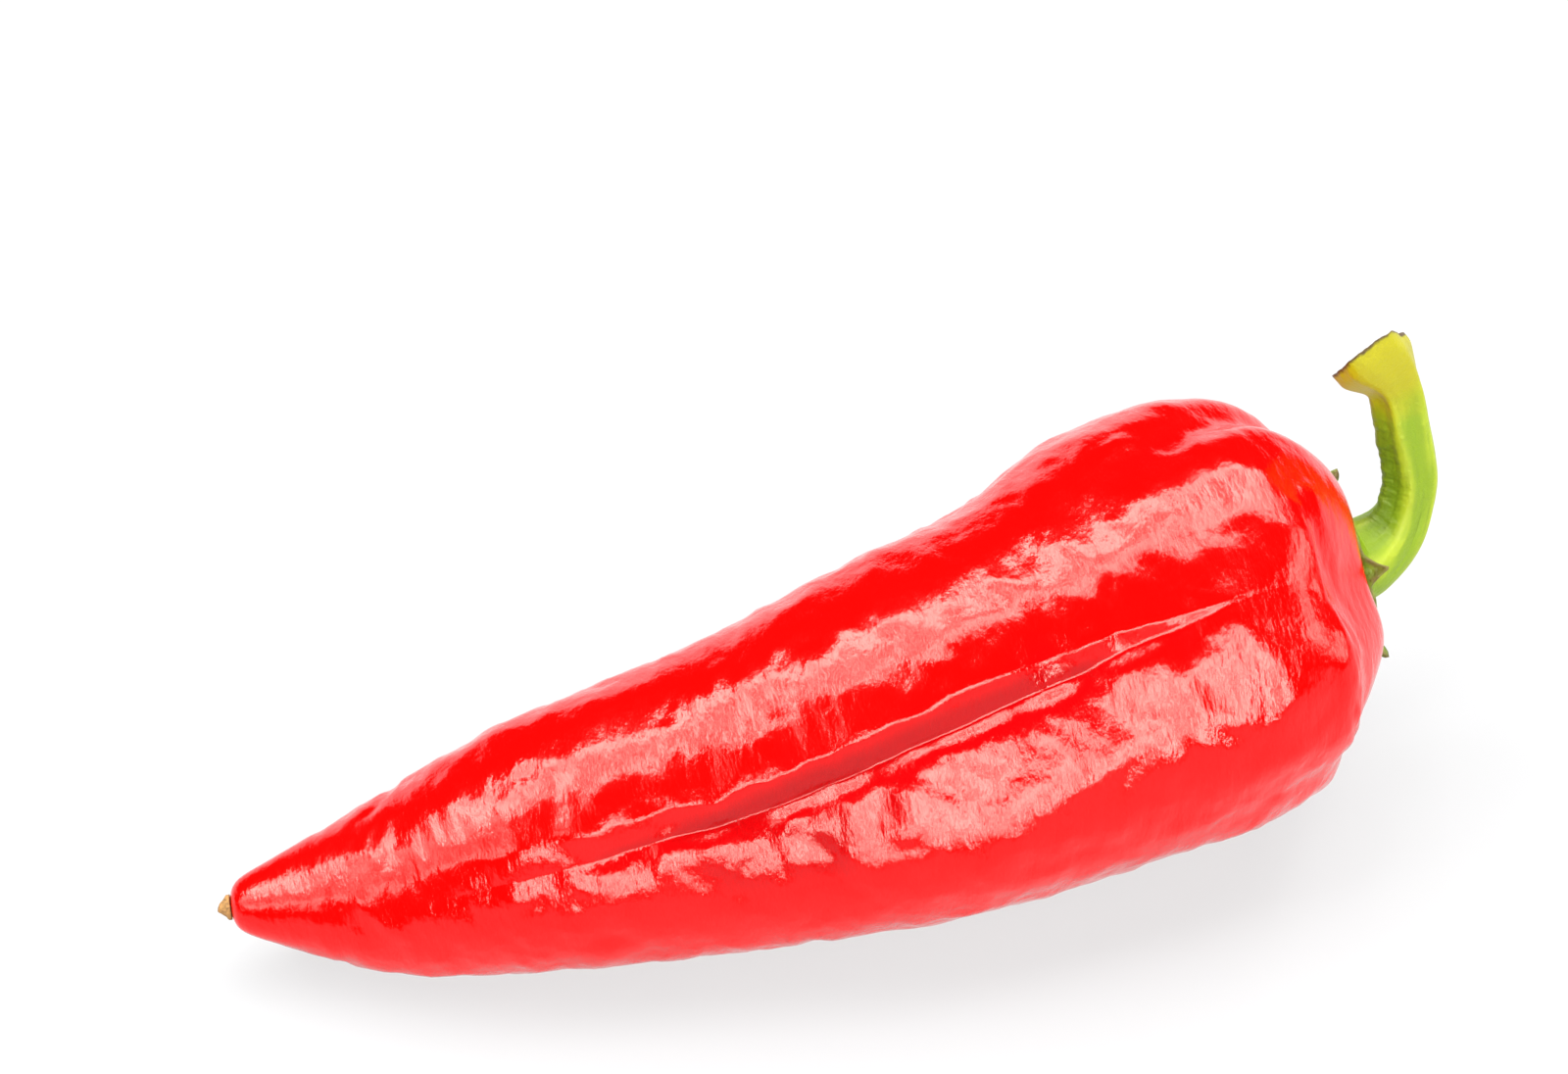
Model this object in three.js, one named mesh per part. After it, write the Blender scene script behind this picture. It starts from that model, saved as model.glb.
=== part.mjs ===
// A red pointed sweet pepper, picked with its stem on and lying on its side: a fleshy fruit with four lobes,
// a green calyx pressed into the hollow between its shoulders, a stem that bends sharply upwards, and the
// dried remains of the flower's style at its tip.
//
// Millimetres. +X runs from the tip to the shoulders, +Z is up, and -Y is the side with the long groove.
// The origin is under the middle of the pepper, on the surface that it rests on.

import * as THREE from "three";

// Fruit
const BODY_LENGTH = 159; // along the fruit's own axis, from the tip to the crest of the shoulders
const TIP_RADIUS = 6.2; // just behind the blunt tip
const WAIST_RADIUS = 17.6; // a quarter of the way up, where the taper slows down
const BELLY_RADIUS = 28.4; // three quarters of the way up
const SHOULDER_RADIUS = 31; // the widest place
const CREST_RADIUS = 15; // of the ring of highest points round the stem's hollow
const HOLLOW_DEPTH = 5; // of the stem's hollow, below the crest
const HEIGHT_TO_WIDTH = 0.93; // the fruit is a little flatter than it is wide
const TIP_LIFT = 4.5; // gap under the tip
const BOW = 10; // how far the middle of the fruit bends out towards -Y
const FLAT_SINK = 0.7; // depth of the underside that lies pressed flat on the surface

// The grooves between the lobes, with angles in degrees from the top towards -Y. Each begins at its start
// behind the shoulders, drifts round the fruit from one angle to the other, and fades out between its fade and
// its reach. sway is how far it swings aside on the way. upper and lower are the widths of its two banks, on
// the side of the smaller and of the larger angles. The first is a short notch in the shoulders, in line with
// the long groove.
const GROOVES = [
  { shoulder: 47, far: 42, sway: 0, depth: 3.2, start: 0, fade: 8, reach: 32, upper: 9, lower: 7 },
  { shoulder: 52, far: 54, sway: -17, depth: 4.6, start: 26, fade: 68, reach: 150, upper: 4, lower: 15 },
  { shoulder: 107, far: 98, sway: 0, depth: 1.6, start: 0, fade: 12, reach: 46, upper: 6, lower: 7 },
  { shoulder: 218, far: 222, sway: 0, depth: 2.6, start: 0, fade: 25, reach: 100, upper: 8, lower: 8 },
  { shoulder: -34, far: 0, sway: 0, depth: 2.7, start: 0, fade: 11, reach: 44, upper: 5, lower: 6 },
];
const GROOVE_START = 20; // how long a groove takes to reach its full depth
const SWAY_PLACE = 0.28; // share of a groove's reach at which it has swung furthest aside
const SWAY_SPREAD = 0.31;

// Calyx
const CALYX_RADIUS = 13.5;
const CALYX_RIM = 0.8; // thickness at its edge
const CALYX_MIDDLE = 2.2; // thickness where the stem grows out of it
const TOOTH_LENGTH = 2.6;
const TOOTH_COUNT = 5;
const TOOTH_HALF_WIDTH = 11; // degrees round the calyx
const FIRST_TOOTH = 48; // degrees from the top towards -Y

// Stem
const STEM_FOOT_RADIUS = 6.6;
const STEM_RADIUS = 3.6;
const STEM_END_RADIUS = 5.2; // the swollen end, where it was cut from the plant
const STEM_REACH = 12; // how far it runs on along the fruit's axis before it climbs
const STEM_RISE = 33.3; // how far it climbs
const STEM_LEAN = 12; // degrees from the vertical towards +Y
const STEM_HOOK = 6.2; // how far its end bends back towards the fruit
const STEM_RIDGES = 5;
const RIDGE_HEIGHT = 0.3;

// Style remains
const STYLE_RADIUS = 1.7;
const STYLE_RIM = 0.5; // thickness at its edge
const STYLE_LENGTH = 1.5;

const SEAT_GAP = 0.3; // between pieces that grow against each other

// Mesh resolution
const FRUIT_SIDES = 60; // the calyx has the same, so that the two lie close along the grooves
const ROWS_PER_STRETCH = 4;
const CALYX_ROWS = 8;
const STEM_SIDES = 30;
const STEM_STEPS = 30;
const STYLE_SIDES = 12;

const UP = new THREE.Vector3(0, 0, 1);
const { degToRad, smoothstep, lerp, clamp, euclideanModulo } = THREE.MathUtils;

// Half of the fruit's outline from its tip to the floor of the hollow: x along the axis, y the radius.
const OUTLINE_SHARES = [
  [0, 0],
  [0.006, 0.5 * TIP_RADIUS],
  [0.042, TIP_RADIUS],
  [0.125, lerp(TIP_RADIUS, WAIST_RADIUS, 0.5)],
  [0.25, WAIST_RADIUS],
  [0.42, lerp(WAIST_RADIUS, BELLY_RADIUS, 0.37)],
  [0.58, lerp(WAIST_RADIUS, BELLY_RADIUS, 0.8)],
  [0.72, BELLY_RADIUS],
  [0.84, SHOULDER_RADIUS],
  [0.92, 0.94 * SHOULDER_RADIUS],
  [0.974, lerp(CREST_RADIUS, SHOULDER_RADIUS, 0.48)],
  [1, CREST_RADIUS],
  [1 - (0.6 * HOLLOW_DEPTH) / BODY_LENGTH, 0.5 * CREST_RADIUS],
  [1 - HOLLOW_DEPTH / BODY_LENGTH, 0],
];
const outline = new THREE.CatmullRomCurve3(
  OUTLINE_SHARES.map(([share, radius]) => new THREE.Vector3(share * BODY_LENGTH, radius, 0)),
);
const STRETCHES = OUTLINE_SHARES.length - 1;
const TIP_PLACE = 2 / STRETCHES; // places on the outline, from 0 at the tip to 1 in the hollow
const WIDEST_PLACE = 8 / STRETCHES;

// The place on the outline, between two others, where a test of its points stops being true.
function findPlace(from, to, isBefore) {
  let before = from;
  let after = to;
  for (let i = 0; i < 40; i++) {
    const middle = (before + after) / 2;
    if (isBefore(outline.getPoint(middle))) before = middle;
    else after = middle;
  }
  return after;
}

const placeNearTip = (radius) => findPlace(0, TIP_PLACE, (point) => point.y < radius);
const placeOnShoulder = (radius) => findPlace(WIDEST_PLACE, 1, (point) => point.y > radius);

// How far the fruit's axis bends out, as shares of its length and of the bow.
const BENDS = [
  [0.14, 0.32],
  [0.3, 0.7],
  [0.45, 0.92],
  [0.6, 0.93],
  [0.72, 0.72],
  [0.84, 0.36],
  [0.92, 0.08],
  [1, 0],
];

// The axis lies at a height that follows the radius, so that the underside lies along the surface.
function axisPoint([share, bend]) {
  const place = findPlace(0, WIDEST_PLACE, (point) => point.x < share * BODY_LENGTH);
  const height = HEIGHT_TO_WIDTH * outline.getPoint(place).y - FLAT_SINK;
  return new THREE.Vector3(share * BODY_LENGTH, -BOW * bend, height);
}

const axis = new THREE.CatmullRomCurve3([
  new THREE.Vector3(0, 0, TIP_RADIUS + TIP_LIFT),
  ...BENDS.map(axisPoint),
]);
axis.arcLengthDivisions = 800;

// A place on the fruit's axis with the three directions of its cross section.
function axisFrame(along) {
  const share = clamp(along / BODY_LENGTH, 0, 1);
  const forward = axis.getTangentAt(share);
  const front = new THREE.Vector3().crossVectors(forward, UP).normalize();
  const top = new THREE.Vector3().crossVectors(front, forward);
  return { origin: axis.getPointAt(share), forward, front, top };
}

// Depth of the grooves at a point of the outline and an angle in degrees from the top.
function grooveDepth(along, radius, angle) {
  const behind = BODY_LENGTH - along;
  let depth = 0;
  for (const groove of GROOVES) {
    const drift = clamp(behind / groove.reach, 0, 1);
    const aside = groove.sway * Math.exp(-(((drift - SWAY_PLACE) / SWAY_SPREAD) ** 2));
    const centre = lerp(groove.shoulder, groove.far, drift) + aside;
    const turn = euclideanModulo(angle - centre + 180, 360) - 180;
    const across = degToRad(turn) * Math.max(radius, CREST_RADIUS);
    const bank = turn < 0 ? groove.upper : groove.lower;
    const opening = groove.start ? smoothstep(behind, groove.start, groove.start + GROOVE_START) : 1;
    const fade = 1 - smoothstep(behind, groove.fade, groove.reach);
    depth += groove.depth * opening * fade * Math.exp(-((across / bank) ** 2));
  }
  return depth * smoothstep(radius, STEM_FOOT_RADIUS, 1.5 * CREST_RADIUS);
}

// A point of the fruit's surface, raised outwards, at a place on the outline and an angle from the top.
function fruitPoint(place, angle, raised = 0) {
  const { x: along, y: radius } = outline.getPoint(place);
  const way = outline.getTangent(place);
  const offset = raised - grooveDepth(along, radius, angle);
  const reach = Math.max(radius + way.x * offset, 0);
  const { origin, forward, front, top } = axisFrame(along);
  const turn = degToRad(angle);
  const point = origin
    .addScaledVector(forward, -way.y * offset)
    .addScaledVector(front, reach * Math.sin(turn))
    .addScaledVector(top, reach * HEIGHT_TO_WIDTH * Math.cos(turn));
  return point.setZ(Math.max(point.z, 0));
}

// One point for each side of a ring, which goes round from the top towards -Y.
function makeRing(sides, pointAt) {
  return Array.from({ length: sides }, (_, i) => pointAt((360 * i) / sides));
}

// A closed mesh from rings of points, with one point that closes each end.
function ringSolid(name, material, first, rings, last) {
  const sides = rings[0].length;
  const points = [first, ...rings.flat(), last];
  const end = points.length - 1 - sides;
  const faces = [];
  for (let i = 0; i < sides; i++) {
    const next = (i + 1) % sides;
    faces.push(0, 1 + next, 1 + i);
    for (let here = 1; here < end; here += sides) {
      const beyond = here + sides;
      faces.push(here + i, here + next, beyond + i);
      faces.push(here + next, beyond + next, beyond + i);
    }
    faces.push(end + i, end + next, points.length - 1);
  }
  const geometry = new THREE.BufferGeometry().setFromPoints(points);
  geometry.setIndex(faces);
  geometry.computeVertexNormals();
  const mesh = new THREE.Mesh(geometry, material);
  mesh.name = name;
  return mesh;
}

function makeFruit() {
  const rows = STRETCHES * ROWS_PER_STRETCH;
  const rings = [];
  for (let row = 1; row < rows; row++) {
    rings.push(makeRing(FRUIT_SIDES, (angle) => fruitPoint(row / rows, angle)));
  }
  const skin = new THREE.MeshStandardMaterial({ color: 0xd90a06, roughness: 0.22, metalness: 0 });
  return ringSolid("fruit", skin, fruitPoint(0, 0), rings, fruitPoint(1, 0));
}

// How far a tooth stands out at an angle: 0 between two teeth, 1 at a tooth's point.
function toothAt(angle) {
  const pitch = 360 / TOOTH_COUNT;
  const turn = euclideanModulo(angle - FIRST_TOOTH + pitch / 2, pitch) - pitch / 2;
  return Math.max(0, 1 - Math.abs(turn) / TOOTH_HALF_WIDTH);
}

// Thickness of the calyx at a share of the way from its middle to its edge.
const calyxThickness = (share) => lerp(CALYX_MIDDLE, CALYX_RIM, smoothstep(share, 0.4, 1));

// The calyx follows the surface of the fruit from the middle of the hollow to its own toothed edge.
function makeCalyx() {
  const under = [];
  const over = [];
  for (let row = 1; row <= CALYX_ROWS; row++) {
    const share = row / CALYX_ROWS;
    const ring = (raised) =>
      makeRing(FRUIT_SIDES, (angle) => {
        const edge = placeOnShoulder(CALYX_RADIUS + TOOTH_LENGTH * toothAt(angle));
        return fruitPoint(lerp(1, edge, share), angle, raised);
      });
    under.push(ring(SEAT_GAP));
    over.unshift(ring(SEAT_GAP + calyxThickness(share)));
  }
  const green = new THREE.MeshStandardMaterial({ color: 0x6f9420, roughness: 0.5, metalness: 0 });
  const bottom = fruitPoint(1, 0, SEAT_GAP);
  const top = fruitPoint(1, 0, SEAT_GAP + CALYX_MIDDLE);
  return ringSolid("calyx", green, bottom, [...under, ...over], top);
}

// The stem's thickness at a share of its length: a broad foot, a slender middle and a swollen end.
function stemRadius(share) {
  const foot = (STEM_FOOT_RADIUS - STEM_RADIUS) * (1 - smoothstep(share, 0, 0.38));
  const end = (STEM_END_RADIUS - STEM_RADIUS) * smoothstep(share, 0.78, 0.97);
  return STEM_RADIUS + foot + end;
}

// The stem stands on the calyx, which it meets along the same surface, and its cut end is flat.
function makeStem() {
  const seat = SEAT_GAP + CALYX_MIDDLE + SEAT_GAP;
  const footPlace = placeOnShoulder(STEM_FOOT_RADIUS);
  const { origin, forward, top } = axisFrame(outline.getPoint(footPlace).x);
  const start = origin.addScaledVector(forward, seat);
  const lean = degToRad(STEM_LEAN);
  const climb = new THREE.Vector3(0, Math.sin(lean), Math.cos(lean));
  const pathPoint = (reach, rise, hook) =>
    start
      .clone()
      .addScaledVector(forward, reach * STEM_REACH - hook * STEM_HOOK)
      .addScaledVector(climb, rise * STEM_RISE);
  const path = new THREE.CatmullRomCurve3([
    pathPoint(0, 0, 0),
    pathPoint(0.42, 0.01, 0),
    pathPoint(0.82, 0.11, 0),
    pathPoint(1, 0.32, 0),
    pathPoint(1, 0.6, 0.2),
    pathPoint(1, 0.84, 0.48),
    pathPoint(1, 1, 1),
  ]);

  const rings = [0.35, 0.7, 1].map((share) =>
    makeRing(STEM_SIDES, (angle) => fruitPoint(lerp(1, footPlace, share), angle, seat)),
  );
  let side = top;
  for (let step = 1; step <= STEM_STEPS; step++) {
    const share = step / STEM_STEPS;
    const centre = path.getPointAt(share);
    const tangent = path.getTangentAt(share);
    side = side.clone().addScaledVector(tangent, -side.dot(tangent)).normalize();
    const front = new THREE.Vector3().crossVectors(tangent, side);
    const ridge = RIDGE_HEIGHT * smoothstep(share, 0.1, 0.3);
    rings.push(
      makeRing(STEM_SIDES, (angle) => {
        const turn = degToRad(angle);
        const radius = stemRadius(share) + ridge * Math.cos(STEM_RIDGES * turn);
        return centre
          .clone()
          .addScaledVector(front, radius * Math.sin(turn))
          .addScaledVector(side, radius * Math.cos(turn));
      }),
    );
  }
  const green = new THREE.MeshStandardMaterial({ color: 0x9bc61e, roughness: 0.45, metalness: 0 });
  return ringSolid("stem", green, fruitPoint(1, 0, seat), rings, path.getPointAt(1));
}

// A small dried cap on the tip of the fruit.
function makeStyleRemains() {
  const edge = placeNearTip(STYLE_RADIUS);
  const point = fruitPoint(0, 0, SEAT_GAP + STYLE_LENGTH);
  const rings = [
    makeRing(STYLE_SIDES, (angle) => fruitPoint(0.5 * edge, angle, SEAT_GAP + 0.8 * STYLE_LENGTH)),
    makeRing(STYLE_SIDES, (angle) => fruitPoint(edge, angle, SEAT_GAP + STYLE_RIM)),
    makeRing(STYLE_SIDES, (angle) => fruitPoint(edge, angle, SEAT_GAP)),
  ];
  const cork = new THREE.MeshStandardMaterial({ color: 0xb98545, roughness: 0.8, metalness: 0 });
  return ringSolid("style_remains", cork, point, rings, fruitPoint(0, 0, SEAT_GAP));
}

const pepper = new THREE.Group();
pepper.add(makeFruit(), makeCalyx(), makeStem(), makeStyleRemains());

const box = new THREE.Box3().setFromObject(pepper);
const middle = box.getCenter(new THREE.Vector3());
pepper.position.set(-middle.x, -middle.y, -box.min.z);

export default pepper;
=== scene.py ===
# A red pointed sweet pepper, picked with its stem on and lying on its side on a pale table. The sections
# follow the pepper itself: the fruit, the calyx in the hollow of its shoulders, the stem, and what is left of
# the flower's style on its tip. Lengths are in metres, unless a comment says otherwise.
import math

import bpy
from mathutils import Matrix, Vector


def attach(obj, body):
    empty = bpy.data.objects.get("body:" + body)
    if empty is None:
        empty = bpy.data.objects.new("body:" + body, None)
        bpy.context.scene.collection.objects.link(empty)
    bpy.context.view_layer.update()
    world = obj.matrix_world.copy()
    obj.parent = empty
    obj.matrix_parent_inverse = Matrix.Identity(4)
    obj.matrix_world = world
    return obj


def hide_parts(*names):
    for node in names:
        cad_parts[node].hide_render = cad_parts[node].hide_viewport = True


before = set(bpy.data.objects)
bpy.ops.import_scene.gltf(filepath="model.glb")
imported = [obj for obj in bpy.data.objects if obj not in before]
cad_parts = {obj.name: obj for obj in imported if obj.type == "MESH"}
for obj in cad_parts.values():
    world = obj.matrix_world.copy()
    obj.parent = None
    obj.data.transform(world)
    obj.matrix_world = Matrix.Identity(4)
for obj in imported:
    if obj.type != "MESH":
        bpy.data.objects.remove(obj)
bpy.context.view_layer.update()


# Camera: it looks down on the long side of the pepper, and the stem stands at the far right.
CAMERA_TURN = math.radians(-17.366)
CAMERA_HEIGHT = math.radians(45)
CAMERA_DISTANCE = 0.53528
CAMERA_TARGET = Vector((0.00331, 0.03989, 0.020))
CAMERA_LENS = 85  # millimetres
CAMERA_SENSOR = 36  # millimetres

lens = bpy.data.cameras.new("camera")
lens.lens = CAMERA_LENS
lens.sensor_width = CAMERA_SENSOR
camera = bpy.data.objects.new("camera", lens)
bpy.context.scene.collection.objects.link(camera)
away = Vector((
    math.sin(CAMERA_TURN) * math.cos(CAMERA_HEIGHT),
    -math.cos(CAMERA_TURN) * math.cos(CAMERA_HEIGHT),
    math.sin(CAMERA_HEIGHT),
))
camera.location = CAMERA_TARGET + CAMERA_DISTANCE * away
camera.rotation_euler = away.to_track_quat("Z", "Y").to_euler()
bpy.context.scene.camera = camera


# The fruit is one fleshy piece with four lobes and a glossy red skin. Its outline runs along a bowed axis,
# the grooves between the lobes start deep at the shoulders, and the skin is full of soft dents that go
# round it. Its mesh is a grid that is wrapped into rings and closed at both poles.
BODY_LENGTH = 0.159
TIP_RADIUS = 0.0062
WAIST_RADIUS = 0.0176
BELLY_RADIUS = 0.0284
SHOULDER_RADIUS = 0.031
SHOULDER_SHARE = 0.84  # of the length, from the tip, at which the fruit is widest
CREST_RADIUS = 0.015
HOLLOW_DEPTH = 0.005
HEIGHT_TO_WIDTH = 0.93
TIP_LIFT = 0.0045
BOW = 0.010
FLAT_SINK = 0.0007
AXIS_START = Vector((-0.0862387, 0.0037842, 0))  # puts the whole pepper over the middle of the frame
STEM_FOOT_RADIUS = 0.0066
POLE_RADIUS = 0.003  # inside which the skin isn't pushed sideways, so that its rings close on the axis
MM = 0.001

# Angles go round from the top towards -Y, in degrees, and lengths, widths and depths are in millimetres.
# The long groove is a bank under the upper lobe with a terrace below it, which starts at a lip that comes and
# goes. It opens and fades at shares of its reach, which is measured from the shoulders.
LONG_GROOVE = dict(
    shoulder=52, far=54, reach=150, opens=(0.13, 0.42), fades=0.5,
    sway=-17, sway_place=0.28, sway_spread=0.31, wander=1.1, wander_length=15,
    terrace=4.4, breadth=16, bank=8.5, steepness=0.6,
    cliff=4.4, narrowest=0.12, jags=0.6, jag_length=6.5,
    fold=1.3, fold_width=1.9, lip=1.0, lip_width=6, faintest=0.15, patch_length=11,
)
GROOVE_FADE = 0.25  # share of its reach at which one of the other grooves starts to get shallower
GROOVES = [
    dict(shoulder=47, far=42, depth=3.2, reach=32, upper=9, lower=7),
    dict(shoulder=107, far=98, depth=1.6, reach=46, upper=6, lower=7),
    dict(shoulder=218, far=222, depth=2.6, reach=100, upper=8, lower=8),
    dict(shoulder=-34, far=0, depth=2.7, reach=44, upper=5, lower=6),
]
# Single dents: how far from the tip, at what angle, how deep, and how long and wide.
DENTS = [
    dict(along=135, angle=28, depth=0.8, length=3.5, width=8),
    dict(along=127, angle=25, depth=0.5, length=2.5, width=6),
    dict(along=125, angle=46, depth=0.6, length=2.5, width=9),
    dict(along=129, angle=58, depth=0.6, length=4, width=6),
    dict(along=94, angle=62, depth=0.7, length=3.5, width=8),
    dict(along=107, angle=26, depth=0.9, length=3.5, width=6),
    dict(along=92, angle=14, depth=0.6, length=2.5, width=7),
    dict(along=76, angle=20, depth=0.5, length=2.5, width=7),
    dict(along=112, angle=47, depth=0.4, length=2, width=5),
    dict(along=77, angle=72, depth=0.4, length=2.5, width=7),
    dict(along=108, angle=-50, depth=0.7, length=18, width=14),
]


def flowing(points, steps):
    """Points along a smooth curve that passes through the given ones, the same number to each stretch."""
    beyond = [2 * points[0] - points[1], *points, 2 * points[-1] - points[-2]]
    curve = []
    for before, start, end, after in zip(beyond, beyond[1:], beyond[2:], beyond[3:]):
        gap_in = (start - before).length ** 0.5
        gap = (end - start).length ** 0.5
        gap_out = (after - end).length ** 0.5
        leave = (start - before) / gap_in - (end - before) / (gap_in + gap) + (end - start) / gap
        arrive = (end - start) / gap - (after - start) / (gap + gap_out) + (after - end) / gap_out
        leave, arrive = leave * gap, arrive * gap
        for step in range(steps):
            t = step / steps
            bend = -3 * start + 3 * end - 2 * leave - arrive
            swing = 2 * start - 2 * end + leave + arrive
            curve.append(start + leave * t + bend * t**2 + swing * t**3)
    return curve + [points[-1].copy()]


def drawn_curve(name, points):
    """A curve object that node trees can follow. It is taken away again at the end."""
    data = bpy.data.curves.new(name, "CURVE")
    data.dimensions = "3D"
    spline = data.splines.new("POLY")
    spline.points.add(len(points) - 1)
    for place, point in zip(spline.points, points):
        place.co = (*point, 1)
    curve = bpy.data.objects.new(name, data)
    bpy.context.scene.collection.objects.link(curve)
    return curve


def between(low, high, share):
    return low + (high - low) * share


half_outline = [
    (0, 0),
    (0.006, 0.5 * TIP_RADIUS),
    (0.042, TIP_RADIUS),
    (0.125, between(TIP_RADIUS, WAIST_RADIUS, 0.5)),
    (0.25, WAIST_RADIUS),
    (0.42, between(WAIST_RADIUS, BELLY_RADIUS, 0.37)),
    (0.58, between(WAIST_RADIUS, BELLY_RADIUS, 0.8)),
    (0.72, BELLY_RADIUS),
    (SHOULDER_SHARE, SHOULDER_RADIUS),
    (0.92, 0.94 * SHOULDER_RADIUS),
    (0.974, between(CREST_RADIUS, SHOULDER_RADIUS, 0.48)),
    (1, CREST_RADIUS),
    (1 - 0.6 * HOLLOW_DEPTH / BODY_LENGTH, 0.5 * CREST_RADIUS),
    (1 - HOLLOW_DEPTH / BODY_LENGTH, 0),
]
OUTLINE_STEPS = 40
AXIS_STEPS = 24
outline = flowing([Vector((share * BODY_LENGTH, radius, 0)) for share, radius in half_outline], OUTLINE_STEPS)
lengths = [0]
for one, other in zip(outline, outline[1:]):
    lengths.append(lengths[-1] + (other - one).length)


def first_place(test, after=0.0):
    """How far round the outline, as a share of its length, a test of its points first comes true."""
    for length, point in zip(lengths, outline):
        place = length / lengths[-1]
        if place >= after and test(point):
            return place
    return 1.0


def radius_at(share):
    return next(point.y for point in outline if point.x >= share * BODY_LENGTH)


# How much of its whole bow the axis has, at shares of the length.
BENDS = [
    (0.14, 0.32), (0.3, 0.7), (0.45, 0.92), (0.6, 0.93),
    (0.72, 0.72), (SHOULDER_SHARE, 0.36), (0.92, 0.08), (1, 0),
]
axis_points = [Vector((0, 0, TIP_RADIUS + TIP_LIFT))]
for share, bend in BENDS:
    half_width = radius_at(share) if share <= SHOULDER_SHARE else SHOULDER_RADIUS
    height = HEIGHT_TO_WIDTH * half_width - FLAT_SINK
    axis_points.append(Vector((share * BODY_LENGTH, -BOW * bend, height)))
axis = [AXIS_START + point for point in flowing(axis_points, AXIS_STEPS)]
outline_curve = drawn_curve("half outline", outline)
axis_curve = drawn_curve("fruit axis", axis)


class Wire:
    """A value that runs through a node tree. Arithmetic with it adds the nodes that work it out."""

    def __init__(self, tree, socket):
        self.tree = tree
        self.socket = socket

    def __add__(self, other):
        return work("ADD", self, other)

    def __sub__(self, other):
        return work("SUBTRACT", self, other)

    def __rsub__(self, other):
        return work("SUBTRACT", other, self)

    def __mul__(self, other):
        return work("MULTIPLY", self, other)

    def __truediv__(self, other):
        return work("DIVIDE", self, other)

    __radd__ = __add__
    __rmul__ = __mul__


def plug(tree, slot, value):
    if isinstance(value, Wire):
        tree.links.new(value.socket, slot)
    elif slot.type == "VECTOR" and isinstance(value, (int, float)):
        slot.default_value = (value, value, value)
    else:
        slot.default_value = value


def add_node(tree, kind, slots=None, **settings):
    node = tree.nodes.new(kind)
    for name, value in settings.items():
        setattr(node, name, value)
    for name, value in (slots or {}).items():
        plug(tree, node.inputs[name], value)
    return node


def work(operation, *values):
    tree = next(value.tree for value in values if isinstance(value, Wire))
    vectors = [
        value for value in values
        if isinstance(value, (tuple, Vector)) or isinstance(value, Wire) and value.socket.type != "VALUE"
    ]
    node = add_node(tree, "ShaderNodeVectorMath" if vectors else "ShaderNodeMath", operation=operation)
    for slot, value in zip(node.inputs, values):
        plug(tree, slot, value)
    return Wire(tree, node.outputs[0])


def ease(value, start, end, low=0.0, high=1.0):
    """Goes smoothly from low to high while the value goes from start to end."""
    slots = {"Value": value, "From Min": start, "From Max": end, "To Min": low, "To Max": high}
    node = add_node(value.tree, "ShaderNodeMapRange", slots, interpolation_type="SMOOTHSTEP")
    return Wire(value.tree, node.outputs["Result"])


def bell(value, width):
    """1 where the value is 0, and falls away to nothing within about two widths."""
    ratio = value / width
    return work("EXPONENT", ratio * ratio * -1)


def wrap(angle):
    return work("WRAP", angle, math.pi, -math.pi)


def split(vector):
    node = add_node(vector.tree, "ShaderNodeSeparateXYZ", {"Vector": vector})
    return [Wire(vector.tree, socket) for socket in node.outputs]


def join(tree, x, y, z=0.0):
    return Wire(tree, add_node(tree, "ShaderNodeCombineXYZ", {"X": x, "Y": y, "Z": z}).outputs[0])


def noise(vector, seed, detail=2.0, roughness=0.5, distortion=0.0):
    """Smooth unevenness from about -1 to 1, with one swell to each unit of the vector."""
    slots = {
        "Vector": vector, "W": seed, "Scale": 1.0, "Detail": detail, "Roughness": roughness,
        "Distortion": distortion,
    }
    node = add_node(vector.tree, "ShaderNodeTexNoise", slots, noise_dimensions="4D")
    return (Wire(vector.tree, node.outputs[0]) - 0.5) * 2


def new_tree(name, inputs, outputs):
    """A geometry tree with named inputs and outputs, which are given as socket types."""
    tree = bpy.data.node_groups.new(name, "GeometryNodeTree")
    for label, kind in outputs.items():
        tree.interface.new_socket(label, in_out="OUTPUT", socket_type="NodeSocket" + kind)
    for label, kind in inputs.items():
        tree.interface.new_socket(label, in_out="INPUT", socket_type="NodeSocket" + kind)
    entry = tree.nodes.new("NodeGroupInput")
    given = {label: Wire(tree, entry.outputs[label]) for label in inputs}
    return tree, given, tree.nodes.new("NodeGroupOutput")


def follow(tree, curve, share):
    """Where a curve is at a share of its length, and which way it runs there."""
    source = add_node(tree, "GeometryNodeObjectInfo", {"Object": curve})
    node = add_node(tree, "GeometryNodeSampleCurve", {"Factor": share}, mode="FACTOR")
    tree.links.new(source.outputs["Geometry"], node.inputs["Curves"])
    return Wire(tree, node.outputs["Position"]), Wire(tree, node.outputs["Tangent"])


def tent(value, width):
    """1 where the value is 0, and falls straight to 0 at a width on either side."""
    return work("MAXIMUM", 1 - work("ABSOLUTE", value) / width, 0.0)


def groove_centre(groove, drift):
    """The angle of a groove's bottom, which drifts from the one at the shoulders to the one far from them."""
    return math.radians(groove["shoulder"]) + drift * math.radians(groove["far"] - groove["shoulder"])


def share_of(length, whole):
    return work("MINIMUM", work("MAXIMUM", length / whole, 0.0), 1.0)


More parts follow.
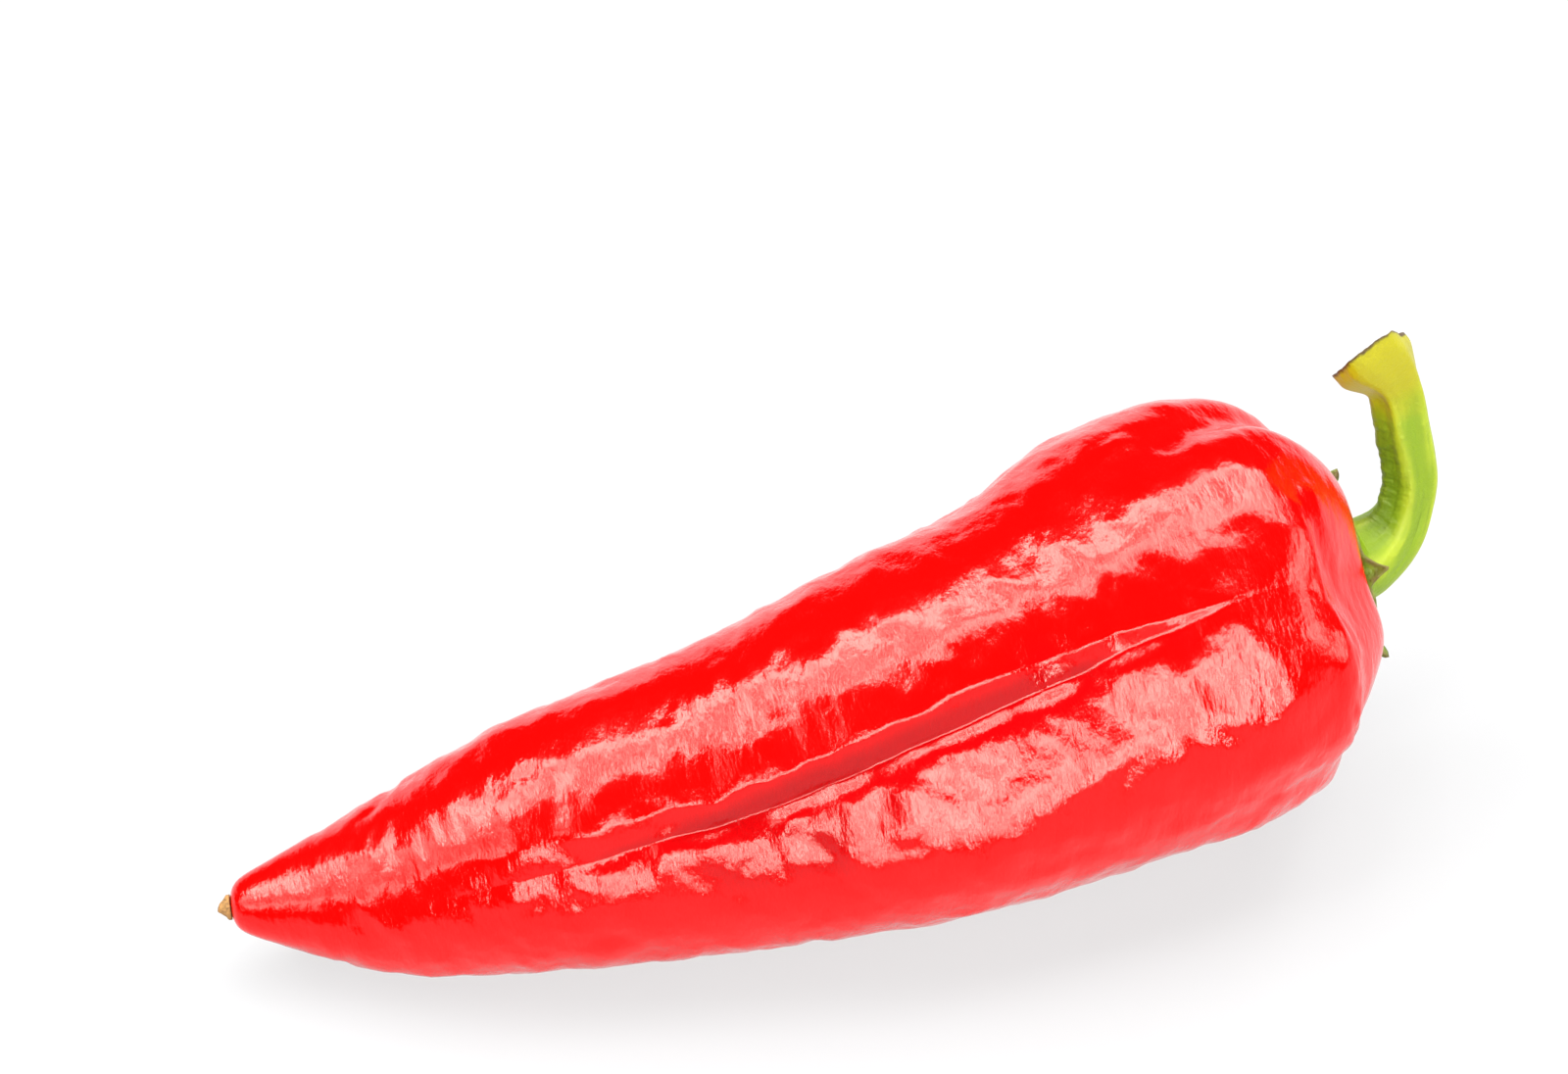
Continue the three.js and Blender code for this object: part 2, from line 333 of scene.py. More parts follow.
def long_groove_depth(turn, behind, girth):
    """How deep the long groove is, and the angle at which its bottom lies."""
    groove = LONG_GROOVE
    reach = groove["reach"] * MM
    drift = share_of(behind, reach)
    sway = bell(drift - groove["sway_place"], groove["sway_spread"]) * math.radians(groove["sway"])
    station = join(behind.tree, behind / MM, 0.0)
    wander = noise(station / groove["wander_length"], seed=21.0, detail=2.5) * (groove["wander"] * MM)
    centre = groove_centre(groove, drift) + sway + wander / girth
    across = wrap(turn - centre) * girth
    patches = noise(station / groove["patch_length"], seed=33.0, detail=1.5)
    crisp = ease(patches, -0.3, 0.25, groove["faintest"], 1.0)
    fold = crisp * (groove["fold"] * MM)
    lip = crisp * (groove["lip"] * MM)
    lip_share = math.exp(-(groove["fold_width"] / groove["lip_width"]) ** 2)
    bottom = fold - lip * lip_share + groove["terrace"] * MM
    terrace = bell(across, groove["breadth"] * MM) * (groove["terrace"] * MM)
    terrace = terrace + bell(across, groove["fold_width"] * MM) * fold
    terrace = terrace - bell(across - groove["fold_width"] * MM, groove["lip_width"] * MM) * lip
    starts, open_by = groove["opens"]
    opening = ease(behind, starts * reach, open_by * reach)
    jagged = 1 + noise(station / groove["jag_length"], seed=44.0, detail=2.0) * groove["jags"]
    narrowest = groove["narrowest"]
    cliff = (narrowest + (1 - narrowest) * opening) * (groove["cliff"] * MM) * jagged
    steep = groove["steepness"]
    bank = tent(across, cliff) * steep + bell(across, groove["bank"] * MM) * (1 - steep)
    bank = bank * bottom
    depth = bank + (terrace - bank) * work("GREATER_THAN", across, 0.0)
    fade = opening * ease(behind, groove["fades"] * reach, reach, 1.0, 0.0)
    return depth * fade, centre


def groove_depth(groove, turn, behind, girth):
    """How deep one of the other grooves is, with a bank of its own width on either side."""
    reach = groove["reach"] * MM
    across = wrap(turn - groove_centre(groove, share_of(behind, reach))) * girth
    above = work("LESS_THAN", across, 0.0)
    bank = groove["lower"] * MM + above * ((groove["upper"] - groove["lower"]) * MM)
    return ease(behind, GROOVE_FADE * reach, reach, 1.0, 0.0) * bell(across, bank) * (groove["depth"] * MM)


def dent_depth(dent, turn, along, girth):
    across = wrap(turn - math.radians(dent["angle"])) * girth / (dent["width"] * MM)
    lengthwise = (along - dent["along"] * MM) / (dent["length"] * MM)
    return work("EXPONENT", (across * across + lengthwise * lengthwise) * -1) * (dent["depth"] * MM)


def build_surface():
    """The tree that gives a point of the fruit's surface, from its place on the outline and its angle."""
    tree, given, leave = new_tree(
        "pepper surface",
        {"Place": "Float", "Turn": "Float", "Raised": "Float"},
        {"Position": "Vector", "Along": "Float", "Radius": "Float", "Groove": "Float", "Lead": "Float"},
    )
    spot, way = follow(tree, outline_curve, given["Place"])
    along, radius, _ = split(spot)
    run, rise, _ = split(way)
    origin, forward = follow(tree, axis_curve, along / BODY_LENGTH)
    front = work("NORMALIZE", work("CROSS_PRODUCT", forward, (0.0, 0.0, 1.0)))
    top = work("CROSS_PRODUCT", front, forward)
    behind = BODY_LENGTH - along
    girth = work("MAXIMUM", radius, CREST_RADIUS)
    depth, lead = long_groove_depth(given["Turn"], behind, girth)
    for groove in GROOVES:
        depth = depth + groove_depth(groove, given["Turn"], behind, girth)
    for dent in DENTS:
        depth = depth + dent_depth(dent, given["Turn"], along, girth)
    depth = depth * ease(radius, STEM_FOOT_RADIUS, 1.5 * CREST_RADIUS)
    offset = given["Raised"] - depth
    sideways = run * ease(radius, 0.0, POLE_RADIUS)
    reach = work("MAXIMUM", radius + sideways * offset, 0.0)
    point = origin - forward * (rise * offset)
    point = point + front * (reach * work("SINE", given["Turn"]))
    point = point + top * (reach * work("COSINE", given["Turn"]) * HEIGHT_TO_WIDTH)
    x, y, z = split(point)
    plug(tree, leave.inputs["Position"], join(tree, x, y, work("MAXIMUM", z, 0.0)))
    plug(tree, leave.inputs["Along"], along)
    plug(tree, leave.inputs["Radius"], radius)
    plug(tree, leave.inputs["Groove"], depth)
    plug(tree, leave.inputs["Lead"], lead)
    return tree


surface = build_surface()


def surface_point(tree, place, turn, raised=0.0):
    """What the surface tree gives for a place and an angle, at a height off the skin."""
    node = add_node(tree, "GeometryNodeGroup", node_tree=surface)
    for name, value in (("Place", place), ("Turn", turn), ("Raised", raised)):
        plug(tree, node.inputs[name], value)
    return {socket.name: Wire(tree, socket) for socket in node.outputs}


def sheet_of_rings(tree, sides, rows):
    """A flat grid to be wrapped into rings: its mesh, the angle round a ring, and the share of the rows."""
    slots = {"Size X": 1.0, "Size Y": 1.0, "Vertices X": sides, "Vertices Y": rows}
    grid = add_node(tree, "GeometryNodeMeshGrid", slots)
    laid = add_node(
        tree, "GeometryNodeStoreNamedAttribute", {"Name": "UVMap"}, data_type="FLOAT2", domain="CORNER")
    tree.links.new(grid.outputs["Mesh"], laid.inputs["Geometry"])
    tree.links.new(grid.outputs["UV Map"], laid.inputs["Value"])
    x, y, _ = split(Wire(tree, tree.nodes.new("GeometryNodeInputPosition").outputs[0]))
    return Wire(tree, laid.outputs[0]), x * math.tau, y + 0.5


def keep(mesh, name, value):
    """Stores a number with each point of the mesh, for its material to read."""
    slots = {"Geometry": mesh, "Name": name, "Value": value}
    node = add_node(
        mesh.tree, "GeometryNodeStoreNamedAttribute", slots, data_type="FLOAT", domain="POINT")
    return Wire(mesh.tree, node.outputs[0])


def moulded(mesh, position):
    node = add_node(mesh.tree, "GeometryNodeSetPosition", {"Geometry": mesh, "Position": position})
    return Wire(mesh.tree, node.outputs[0])


SEAM_DISTANCE = 2e-6


def finish_tree(mesh, leave, material):
    """Closes the seam and the poles of the rings, and gives the mesh its material."""
    tree = mesh.tree
    for kind, slots in (
        ("GeometryNodeMergeByDistance", {"Distance": SEAM_DISTANCE}),
        ("GeometryNodeSetShadeSmooth", {}),
        ("GeometryNodeRealizeInstances", {}),
        ("GeometryNodeSetMaterial", {"Material": material}),
    ):
        node = add_node(tree, kind, slots)
        plug(tree, node.inputs[0], mesh)
        mesh = Wire(tree, node.outputs[0])
    plug(tree, leave.inputs["Mesh"], mesh)


def grown(name, tree, sizes):
    """Runs a tree with the sizes given to its named inputs, and keeps the plain mesh that it makes."""
    piece = bpy.data.objects.new(name, bpy.data.meshes.new(name))
    bpy.context.scene.collection.objects.link(piece)
    growth = piece.modifiers.new("growth", "NODES")
    growth.node_group = tree
    for socket in tree.interface.items_tree:
        if socket.in_out == "INPUT":
            growth[socket.identifier] = sizes[socket.name]
    graph = bpy.context.evaluated_depsgraph_get()
    mesh = bpy.data.meshes.new_from_object(
        piece.evaluated_get(graph), preserve_all_data_layers=True, depsgraph=graph)
    piece.modifiers.clear()
    piece.data = mesh
    mesh.name = name
    return piece


def new_material(name):
    """A material, its tree, its Principled shader, and the place on the pepper in millimetres."""
    material = bpy.data.materials.new(name)
    material.use_nodes = True
    tree = material.node_tree
    shader = tree.nodes["Principled BSDF"]
    spot = Wire(tree, tree.nodes.new("ShaderNodeTexCoord").outputs["Object"]) * (1 / MM)
    return material, tree, shader, spot


def kept(tree, name):
    """A number that a mesh tree stored with the points."""
    return Wire(tree, add_node(tree, "ShaderNodeAttribute", attribute_name=name).outputs["Fac"])


def blend_colours(factor, one, other):
    node = add_node(factor.tree, "ShaderNodeMix", data_type="RGBA")
    slots = {slot.identifier: slot for slot in node.inputs}
    plug(factor.tree, slots["Factor_Float"], factor)
    for name, colour in (("A_Color", one), ("B_Color", other)):
        plug(factor.tree, slots[name], (*colour, 1.0) if isinstance(colour, tuple) else colour)
    return Wire(factor.tree, node.outputs[2])


def dimple_normal(shader, height, distance):
    """Lets fine unevenness, from about -1 to 1 times a distance, tilt the light on the surface."""
    bump = add_node(height.tree, "ShaderNodeBump", {"Height": height, "Distance": distance})
    height.tree.links.new(bump.outputs["Normal"], shader.inputs["Normal"])


SKIN_RED = (0.45, 0.0005, 0.0004)
SKIN_DEEP_RED = (0.37, 0.0004, 0.0005)
# painted shade: the darker red for the bottoms of the grooves
SKIN_GROOVE_SHADE = (0.16, 0.0003, 0.0012)
SKIN_ORANGE = (0.42, 0.02, 0.001)
SKIN_ROUGHNESS = 0.1
SKIN_IOR = 1.36
SKIN_GRAIN = 0.00011


def skin_material():
    material, tree, shader, spot = new_material("red pepper skin")
    x, y, z = split(spot)
    mottle = ease(noise(spot * 0.05, 3.1, detail=3.0), -0.5, 0.6)
    speckle = ease(noise(spot * 0.9, 8.4, detail=2.0), 0.15, 0.7)
    colour = blend_colours(mottle * 0.55, SKIN_RED, SKIN_DEEP_RED)
    # Painted shade: the skin is darker red deep in the grooves, where shade falls.
    colour = blend_colours(kept(tree, "groove") * 0.7, colour, SKIN_GROOVE_SHADE)
    colour = blend_colours(kept(tree, "hollow") * 0.3, colour, SKIN_ORANGE)
    plug(tree, shader.inputs["Base Color"], colour)
    plug(tree, shader.inputs["Roughness"], SKIN_ROUGHNESS + 0.07 * mottle + 0.05 * speckle)
    shader.inputs["IOR"].default_value = SKIN_IOR
    peel = noise(spot * 1.1, 1.7, detail=3.0)
    wrinkles = noise(join(tree, x * 0.7, y * 0.22, z * 0.22), 5.2, detail=4.0, roughness=0.6)
    dimple_normal(shader, peel * 0.25 + wrinkles, SKIN_GRAIN)
    return material


# One row of points follows the long groove, so that its crease stays crisp, and takes its neighbours along.
# The points stand closest together on the steep bank of that groove.
LEAD_TURN = math.radians(43)
LEAD_SPREAD = 0.7
CROWD_TURN = math.radians(39)
CROWD_SPREAD = 0.45
CROWDING = 0.65
TIP_CALM = 0.011  # the skin gets its full unevenness where its rings have this radius
SHOULDER_CALM = 0.012  # and this far down from the shoulders
SHADED_DEPTHS = (0.0006, 0.0034)  # painted shade: a groove gets a darker red between these depths
SHADED_FROM = (0.014, 0.036)  # and between these distances down from the shoulders
TINTED_RADII = (0.0178, 0.0135)  # the hollow gets its orange between these radii


def build_fruit(material):
    tree, given, leave = new_tree(
        "fruit",
        {
            "Sides": "Int", "Rows": "Int", "Swell height": "Float", "Dent height": "Float",
            "Ripple height": "Float", "Seed": "Float",
        },
        {"Mesh": "Geometry"},
    )
    mesh, turn, place = sheet_of_rings(tree, given["Sides"], given["Rows"])
    turn = turn + math.pi
    crowd = wrap(turn - CROWD_TURN)
    turn = turn - crowd * bell(crowd, CROWD_SPREAD) * CROWDING
    swing = surface_point(tree, place, turn)["Lead"] - LEAD_TURN
    turn = turn + swing * bell(wrap(turn - LEAD_TURN), LEAD_SPREAD)
    flat = surface_point(tree, place, turn)
    along, radius = flat["Along"] / MM, flat["Radius"] / MM
    round_x = radius * work("COSINE", turn)
    round_y = radius * work("SINE", turn)

    def unevenness(wide, long, seed, **shape):
        """Swells of the skin that are so many millimetres wide and long."""
        return noise(join(tree, round_x / wide, round_y / wide, along / long), given["Seed"] + seed, **shape)

    raised = unevenness(22, 26, 0, detail=1.0) * given["Swell height"]
    raised = raised + unevenness(9, 5.5, 4, detail=1.5, distortion=0.4) * given["Dent height"]
    raised = raised + unevenness(5, 2.2, 9, detail=2.0) * given["Ripple height"]
    fade = ease(flat["Radius"], POLE_RADIUS, TIP_CALM)
    fade = fade * ease(flat["Along"], BODY_LENGTH - 0.001, BODY_LENGTH - SHOULDER_CALM)
    off_shoulders = ease(flat["Along"], *(BODY_LENGTH - down for down in SHADED_FROM))
    # The grooves' painted shade is stored with the points, away from the shoulders.
    mesh = keep(mesh, "groove", ease(flat["Groove"], *SHADED_DEPTHS) * off_shoulders)
    near_stem = ease(flat["Along"], 0.8 * BODY_LENGTH, 0.9 * BODY_LENGTH)
    mesh = keep(mesh, "hollow", ease(flat["Radius"], *TINTED_RADII) * near_stem)
    mesh = moulded(mesh, surface_point(tree, place, turn, raised * fade)["Position"])
    finish_tree(mesh, leave, material)
    return tree


fruit = grown("fruit_skin", build_fruit(skin_material()), {
    "Sides": 361, "Rows": 260, "Swell height": 0.0006, "Dent height": 0.0008, "Ripple height": 0.00014,
    "Seed": 2.0,
})
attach(fruit, "root")
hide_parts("fruit")


# The calyx is the green cap that held the flower. It is leathery, lies pressed into the hollow of the
# shoulders with ribs that run out from the stem, and ends in five small teeth that have dried and curled.
CALYX_RADIUS = 0.0135
CALYX_RIM = 0.0008
CALYX_MIDDLE = 0.0022
CALYX_BULGE = 0.0006  # how much thicker the cap is where it swells under the stem
CALYX_RAGS = 0.00025  # unevenness of its outer face
RIM_LIFT = 0.0007  # how far the dried rim stands off the skin at most, beside the teeth
RIB_SPREAD = 0.16  # radians
TOOTH_COUNT = 5
TOOTH_LENGTH = 0.0026
TOOTH_HALF_WIDTH = math.radians(11)
FIRST_TOOTH = math.radians(48)
SEAT_GAP = 0.0003
PAST_TIP = 0.75  # share of the outline's length past which only the shoulders are slim


def place_on_shoulder(radius):
    """The place on the outline where the shoulders come in to a radius."""
    return first_place(lambda point: point.y <= radius, PAST_TIP)


CALYX_GREEN = (0.09, 0.16, 0.008)
CALYX_PALE = (0.14, 0.21, 0.014)
CALYX_BROWN = (0.09, 0.06, 0.015)


def calyx_material():
    material, tree, shader, spot = new_material("calyx green")
    rim = kept(tree, "rim")
    veins = ease(noise(spot * 0.6, 2.2, detail=4.0), -0.3, 0.5)
    colour = blend_colours(veins, CALYX_GREEN, CALYX_PALE)
    dried = ease(rim + noise(spot * 0.5, 6.6, detail=3.0) * 0.35, 0.8, 1.1)
    colour = blend_colours(dried, colour, CALYX_BROWN)
    plug(tree, shader.inputs["Base Color"], colour)
    plug(tree, shader.inputs["Roughness"], 0.42 + 0.3 * dried)
    dimple_normal(shader, noise(spot * 2.2, 4.4, detail=4.0, roughness=0.6), 0.00012)
    return material


def build_calyx(material):
    tree, given, leave = new_tree(
        "calyx",
        {
            "Sides": "Int", "Rows": "Int", "Rim place": "Float", "Tooth place": "Float",
            "Rib height": "Float", "Tooth curl": "Float", "Seed": "Float",
        },
        {"Mesh": "Geometry"},
    )
    mesh, turn, rows = sheet_of_rings(tree, given["Sides"], given["Rows"])
    share = 1 - work("ABSOLUTE", rows * 2 - 1)
    over = ease(rows, 0.46, 0.54)
    pitch = math.tau / TOOTH_COUNT
    from_tooth = work("WRAP", turn - FIRST_TOOTH, pitch / 2, -pitch / 2)
    tooth = tent(from_tooth, TOOTH_HALF_WIDTH)
    ring = join(tree, work("COSINE", turn), work("SINE", turn), share * 0.4)
    ragged = noise(ring * 3.0, given["Seed"], detail=3.0)
    jut = tooth * 0.8 + ragged * 0.25 - 0.1
    edge = given["Rim place"] + jut * (given["Tooth place"] - given["Rim place"])
    place = 1 + (edge - 1) * share
    thickness = ease(share, 0.25, 0.95, CALYX_MIDDLE + CALYX_BULGE, CALYX_RIM)
    rib = bell(from_tooth, RIB_SPREAD) * ease(share, 0.3, 0.5) * ease(share, 0.7, 1.0, 1.0, 0.3)
    rags = ring * 5.0 + join(tree, 0.0, 0.0, share * 2)
    uneven = noise(rags, given["Seed"] + 3, detail=3.0) * CALYX_RAGS
    lift = ease(share, 0.75, 1.0) * (0.5 + 0.5 * noise(ring * 2.0, given["Seed"] + 6)) * RIM_LIFT
    curl = tooth * tooth * ease(share, 0.7, 1.0) * given["Tooth curl"]
    cover = thickness + rib * given["Rib height"] + uneven * ease(share, 0.1, 0.4)
    raised = SEAT_GAP + lift + over * cover + curl
    mesh = keep(mesh, "rim", share)
    mesh = moulded(mesh, surface_point(tree, place, turn, raised)["Position"])
    finish_tree(mesh, leave, material)
    return tree


calyx = grown("calyx_cap", build_calyx(calyx_material()), {
    "Sides": 221, "Rows": 72, "Rim place": place_on_shoulder(CALYX_RADIUS),
    "Tooth place": place_on_shoulder(CALYX_RADIUS + TOOTH_LENGTH), "Rib height": 0.0005,
    "Tooth curl": 0.0026, "Seed": 5.0,
})
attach(calyx, "root")
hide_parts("calyx")


# The stem grew out of the calyx with a broad foot and bends sharply upwards. It is ridged along its length,
# wrinkled on the inside of its bend, and swells out to the end where it was cut from the plant.
STEM_RADIUS = 0.0036
STEM_END_RADIUS = 0.0052
STEM_REACH = 0.012
STEM_RISE = 0.0333
STEM_LEAN = math.radians(12)
STEM_HOOK = 0.0062
STEM_FLARE = 0.0016
STRAND_HEIGHT = 0.00018
FOOT_ROWS = 0.04  # share of the rows that close the foot
FACE_ROWS = 0.12  # share of the rows that close the cut end
CUT_LIFT = 0.0014
CUT_ROUNDING = 0.0022  # how far the corner at the outside of the bend is rounded off
CUT_HOLLOW = 0.0010
CUT_RAGS = 0.0005
STEM_ROOT = Vector((0.0694203, 0.003624, 0.02813))  # where the fruit's axis passes the stem's foot
STEM_FORWARD = Vector((0.9992666, 0.0382926, 0))  # the way the axis runs there
stem_climb = Vector((0, math.sin(STEM_LEAN), math.cos(STEM_LEAN)))
stem_front = STEM_FORWARD.cross(stem_climb).normalized()
# How far the middle of the stem has come, as shares of its reach, its rise and its hook back at the end.
STEM_STATIONS = [
    (0, 0, 0), (0.42, 0.01, 0), (0.82, 0.11, 0), (1, 0.32, 0), (1, 0.6, 0.2), (1, 0.84, 0.48), (1, 1, 1),
]
STEM_STEPS = 20
stem_start = STEM_ROOT + STEM_FORWARD * (SEAT_GAP + CALYX_MIDDLE + SEAT_GAP)
stem_path = flowing([
    stem_start + STEM_FORWARD * (reach * STEM_REACH - hook * STEM_HOOK) + stem_climb * (rise * STEM_RISE)
    for reach, rise, hook in STEM_STATIONS
], STEM_STEPS)
stem_curve = drawn_curve("stem path", stem_path)

STEM_GREEN = (0.13, 0.205, 0.004)
STEM_PALE = (0.25, 0.31, 0.014)
STEM_DARK = (0.05, 0.09, 0.004)
STEM_YELLOW = (0.25, 0.235, 0.002)
STEM_BROWN = (0.05, 0.03, 0.008)


def stem_material():
    material, tree, shader, spot = new_material("stem green")
    ridge, inside, share = kept(tree, "ridge"), kept(tree, "inside"), kept(tree, "share")
    cloudy = noise(spot * 0.35, 1.9, detail=4.0)
    strand = kept(tree, "strand")
    colour = blend_colours(ease(ridge * 0.5 + strand * 0.7 + cloudy * 0.4, -0.3, 0.9), STEM_GREEN, STEM_PALE)
    colour = blend_colours(ease(strand, -0.15, -0.6) * 0.45, colour, STEM_DARK)
    # Painted shade: the inside of the bend is darkened towards the dark green.
    colour = blend_colours(inside * 0.8, colour, STEM_DARK)
    colour = blend_colours(ease(share + cloudy * 0.05, 0.72, 0.9), colour, STEM_YELLOW)
    colour = blend_colours(ease(share + noise(spot * 0.8, 7.0) * 0.012, 0.982, 0.996), colour, STEM_BROWN)
    plug(tree, shader.inputs["Base Color"], colour)
    plug(tree, shader.inputs["Roughness"], 0.42 + 0.12 * cloudy)
    shader.inputs["Specular IOR Level"].default_value = 0.3
    dimple_normal(shader, noise(spot * 1.6, 3.3, detail=4.0, roughness=0.6), 0.0001)
    return material


def build_stem(material):
    tree, given, leave = new_tree(
        "stem",
        {
            "Sides": "Int", "Rows": "Int", "Foot radius": "Float", "Radius": "Float", "End radius": "Float",
            "Ridge height": "Float", "Wrinkle height": "Float", "Cut slant": "Float", "Seed": "Float",
        },
        {"Mesh": "Geometry"},
    )
    mesh, turn, rows = sheet_of_rings(tree, given["Sides"], given["Rows"])
    cosine, sine = work("COSINE", turn), work("SINE", turn)
    closing_foot = ease(rows, 0.0, FOOT_ROWS)
    share = share_of(rows - FOOT_ROWS, 1 - FOOT_ROWS - FACE_ROWS)
    face = work("MAXIMUM", (rows - (1 - FACE_ROWS)) / FACE_ROWS, 0.0)
    centre, tangent = follow(tree, stem_curve, share)
    inner = work("CROSS_PRODUCT", tuple(stem_front), tangent)
    foot = ease(share, 0.0, 0.38, 1.0, 0.0) * (given["Foot radius"] - given["Radius"])
    flare = ease(share, 0.0, 0.1, 1.0, 0.0) * STEM_FLARE
    end = ease(share, 0.82, 0.96) * (given["End radius"] - given["Radius"]) * (1.15 + 0.3 * cosine)
    ring = join(tree, cosine, sine, share * 2.5)
    ridge = work("COSINE", turn * 5 + share * 1.5 + noise(ring, given["Seed"]) * 0.9)
    # The inside of the bend gets the wrinkles, and the painted shade of the stem's material.
    inside = bell(turn, 0.9) * ease(share, 0.12, 0.3) * ease(share, 0.62, 0.85, 1.0, 0.0)
    wrinkle = noise(join(tree, cosine, sine, share * 26), given["Seed"] + 2, detail=2.0)
    strands = noise(join(tree, cosine * 6, sine * 6, share * 5), given["Seed"] + 5, detail=2.0)
    rim = ease(share, 0.94, 1.0) * noise(ring * 4, given["Seed"] + 8, detail=2.0) * CUT_RAGS
    radius = given["Radius"] + foot + flare + end + ridge * given["Ridge height"] * ease(share, 0.05, 0.3)
    radius = radius + wrinkle * inside * given["Wrinkle height"] + strands * STRAND_HEIGHT + rim * 0.6
    radius = radius * closing_foot * (1 - face)
    sunk = ease(face, 0.0, 0.5) * CUT_HOLLOW
    slant = sine * radius * given["Cut slant"] * ease(share, 0.75, 1.0)
    rounding = bell(wrap(turn - math.pi), 0.75) * ease(share, 0.85, 1.0) * CUT_ROUNDING
    tilt = rim * (1 - face) + slant + ease(share, 0.8, 1.0) * CUT_LIFT - rounding
    point = centre + tangent * (tilt - sunk) + inner * (radius * cosine)
    point = point + (radius * sine) * tuple(stem_front)
    mesh = keep(mesh, "ridge", ridge)
    mesh = keep(mesh, "inside", inside)
    mesh = keep(mesh, "strand", strands)
    mesh = keep(mesh, "share", share + face * 0.1)
    mesh = moulded(mesh, point)
    finish_tree(mesh, leave, material)
    return tree


stem = grown("stem_stalk", build_stem(stem_material()), {
    "Sides": 121, "Rows": 260, "Foot radius": STEM_FOOT_RADIUS, "Radius": STEM_RADIUS,
    "End radius": STEM_END_RADIUS, "Ridge height": 0.00035, "Wrinkle height": 0.0005, "Cut slant": 0.85,
    "Seed": 3.0,
})
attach(stem, "root")
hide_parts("stem")


# What is left of the flower's style is a crumb of dry brown cork on the very tip of the fruit, where it has
# grown fast in the end of the skin.
STYLE_RADIUS = 0.0017
STYLE_LENGTH = 0.0015
STYLE_GAP = 0.0001
CORK_TAN = (0.22, 0.11, 0.03)
CORK_BROWN = (0.06, 0.025, 0.01)


def cork_material():
    material, tree, shader, spot = new_material("dried style")
    grain = noise(spot * 2.5, 1.2, detail=4.0)
    plug(tree, shader.inputs["Base Color"], blend_colours(ease(grain, -0.1, 0.6), CORK_TAN, CORK_BROWN))
    shader.inputs["Roughness"].default_value = 0.8
    dimple_normal(shader, grain, 0.0002)
    return material


def build_style(material):
    tree, given, leave = new_tree(
        "style remains",
        {"Sides": "Int", "Rows": "Int", "Edge place": "Float", "Length": "Float", "Seed": "Float"},
        {"Mesh": "Geometry"},
    )
    mesh, turn, rows = sheet_of_rings(tree, given["Sides"], given["Rows"])
    share = 1 - work("ABSOLUTE", rows * 2 - 1)
    under = ease(rows, 0.45, 0.55)
    ring = join(tree, work("COSINE", turn) * share, work("SINE", turn) * share, under)
    crumbly = noise(ring * 2.2, given["Seed"], detail=3.0)
    edge = given["Edge place"] * (1 + 0.25 * noise(ring * 1.5, given["Seed"] + 2))
    dome = given["Length"] * ease(share, 1.0, 0.1, 0.35, 1.0) * (1 + 0.35 * crumbly)
    raised = STYLE_GAP + dome * (1 - under)
    mesh = moulded(mesh, surface_point(tree, edge * share, turn, raised)["Position"])
    finish_tree(mesh, leave, material)
    return tree


style = grown("style_crumb", build_style(cork_material()), {
    "Sides": 61, "Rows": 41, "Edge place": first_place(lambda point: point.y >= STYLE_RADIUS),
    "Length": STYLE_LENGTH, "Seed": 4.0,
})
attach(style, "root")
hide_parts("style_remains")

for curve in (outline_curve, axis_curve, stem_curve):
    bpy.data.objects.remove(curve)


# Table and light: a white table that glows a little, a broad soft light overhead, a low one in front and a
# small one at either end, in a dark room, so that the red stays deep.
TABLE_SIZE = 8
TABLE_WHITE = (0.088, 0.091, 0.104)
TABLE_GLOW = 0.66  # how bright the table is by itself, lit through from below
LIGHT_TINT = (1.0, 0.97, 0.86)
LIGHT_FOLDS = 3.6  # folds of the softboxes' cloth to each metre
DIM_FOLD = 0.06
BRIGHT_FOLD = 1.7
ROOM_GREY = (0.02, 0.02, 0.02)

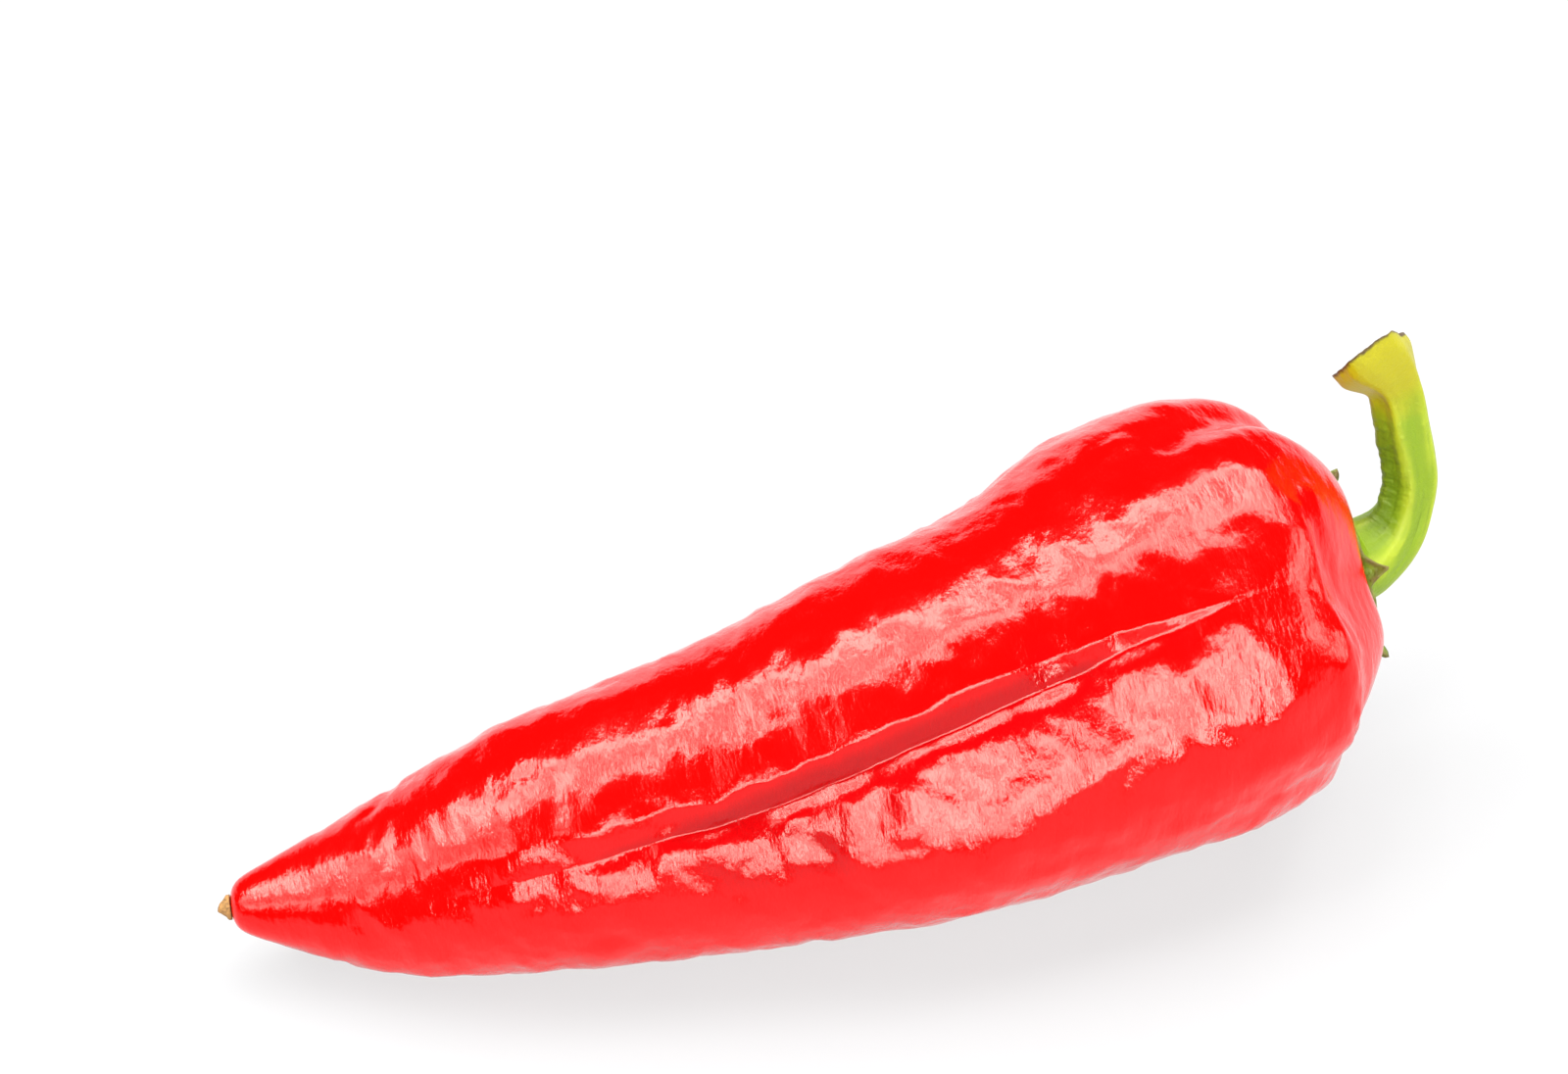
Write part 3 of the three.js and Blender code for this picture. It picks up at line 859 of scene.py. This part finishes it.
half = TABLE_SIZE / 2
table_mesh = bpy.data.meshes.new("table")
table_corners = [(-half, -half, 0), (half, -half, 0), (half, half, 0), (-half, half, 0)]
table_mesh.from_pydata(table_corners, [], [(0, 1, 2, 3)])
table = bpy.data.objects.new("table", table_mesh)
bpy.context.scene.collection.objects.link(table)
table_paint = bpy.data.materials.new("table white")
table_paint.use_nodes = True
table_shader = table_paint.node_tree.nodes["Principled BSDF"]
table_shader.inputs["Base Color"].default_value = (*TABLE_WHITE, 1)
table_shader.inputs["Roughness"].default_value = 0.9
table_shader.inputs["Specular IOR Level"].default_value = 0.0
table_shader.inputs["Emission Color"].default_value = (1, 1, 1, 1)
table_shader.inputs["Emission Strength"].default_value = TABLE_GLOW
table_mesh.materials.append(table_paint)


def soft_light(name, turn, height, distance, width, depth, radiance):
    """A cloth softbox that faces the pepper. Its turn, from +X, and its height are angles in degrees."""
    lamp = bpy.data.lights.new(name, "AREA")
    lamp.shape = "RECTANGLE"
    lamp.size = width
    lamp.size_y = depth
    lamp.energy = radiance * math.pi * width * depth
    lamp.color = LIGHT_TINT
    lamp.use_nodes = True
    tree = lamp.node_tree
    spot = Wire(tree, tree.nodes.new("ShaderNodeNewGeometry").outputs["Position"])
    folds = ease(noise(spot * LIGHT_FOLDS, seed=12.0, detail=2.0), -0.22, 0.22, DIM_FOLD, BRIGHT_FOLD)
    plug(tree, tree.nodes["Emission"].inputs["Strength"], folds)
    light = bpy.data.objects.new(name, lamp)
    bpy.context.scene.collection.objects.link(light)
    turn, height = math.radians(turn), math.radians(height)
    across = math.cos(height)
    towards = Vector((math.cos(turn) * across, math.sin(turn) * across, math.sin(height)))
    light.location = towards * distance
    light.rotation_euler = towards.to_track_quat("Z", "Y").to_euler()


soft_light("overhead softbox", turn=90, height=73, distance=1.2, width=2.6, depth=0.98, radiance=13)
soft_light("front softbox", turn=-95, height=25, distance=1.2, width=1.15, depth=0.72, radiance=15.5)
soft_light("left softbox", turn=185, height=35, distance=1.3, width=1.0, depth=0.8, radiance=6.0)
soft_light("right softbox", turn=-20, height=24, distance=1.3, width=0.6, depth=0.6, radiance=7.0)

world = bpy.data.worlds.new("dark room")
world.use_nodes = True
world.node_tree.nodes["Background"].inputs["Color"].default_value = (*ROOM_GREY, 1)
bpy.context.scene.world = world
bpy.context.scene.view_settings.view_transform = "Standard"
bpy.context.scene.view_settings.look = "None"
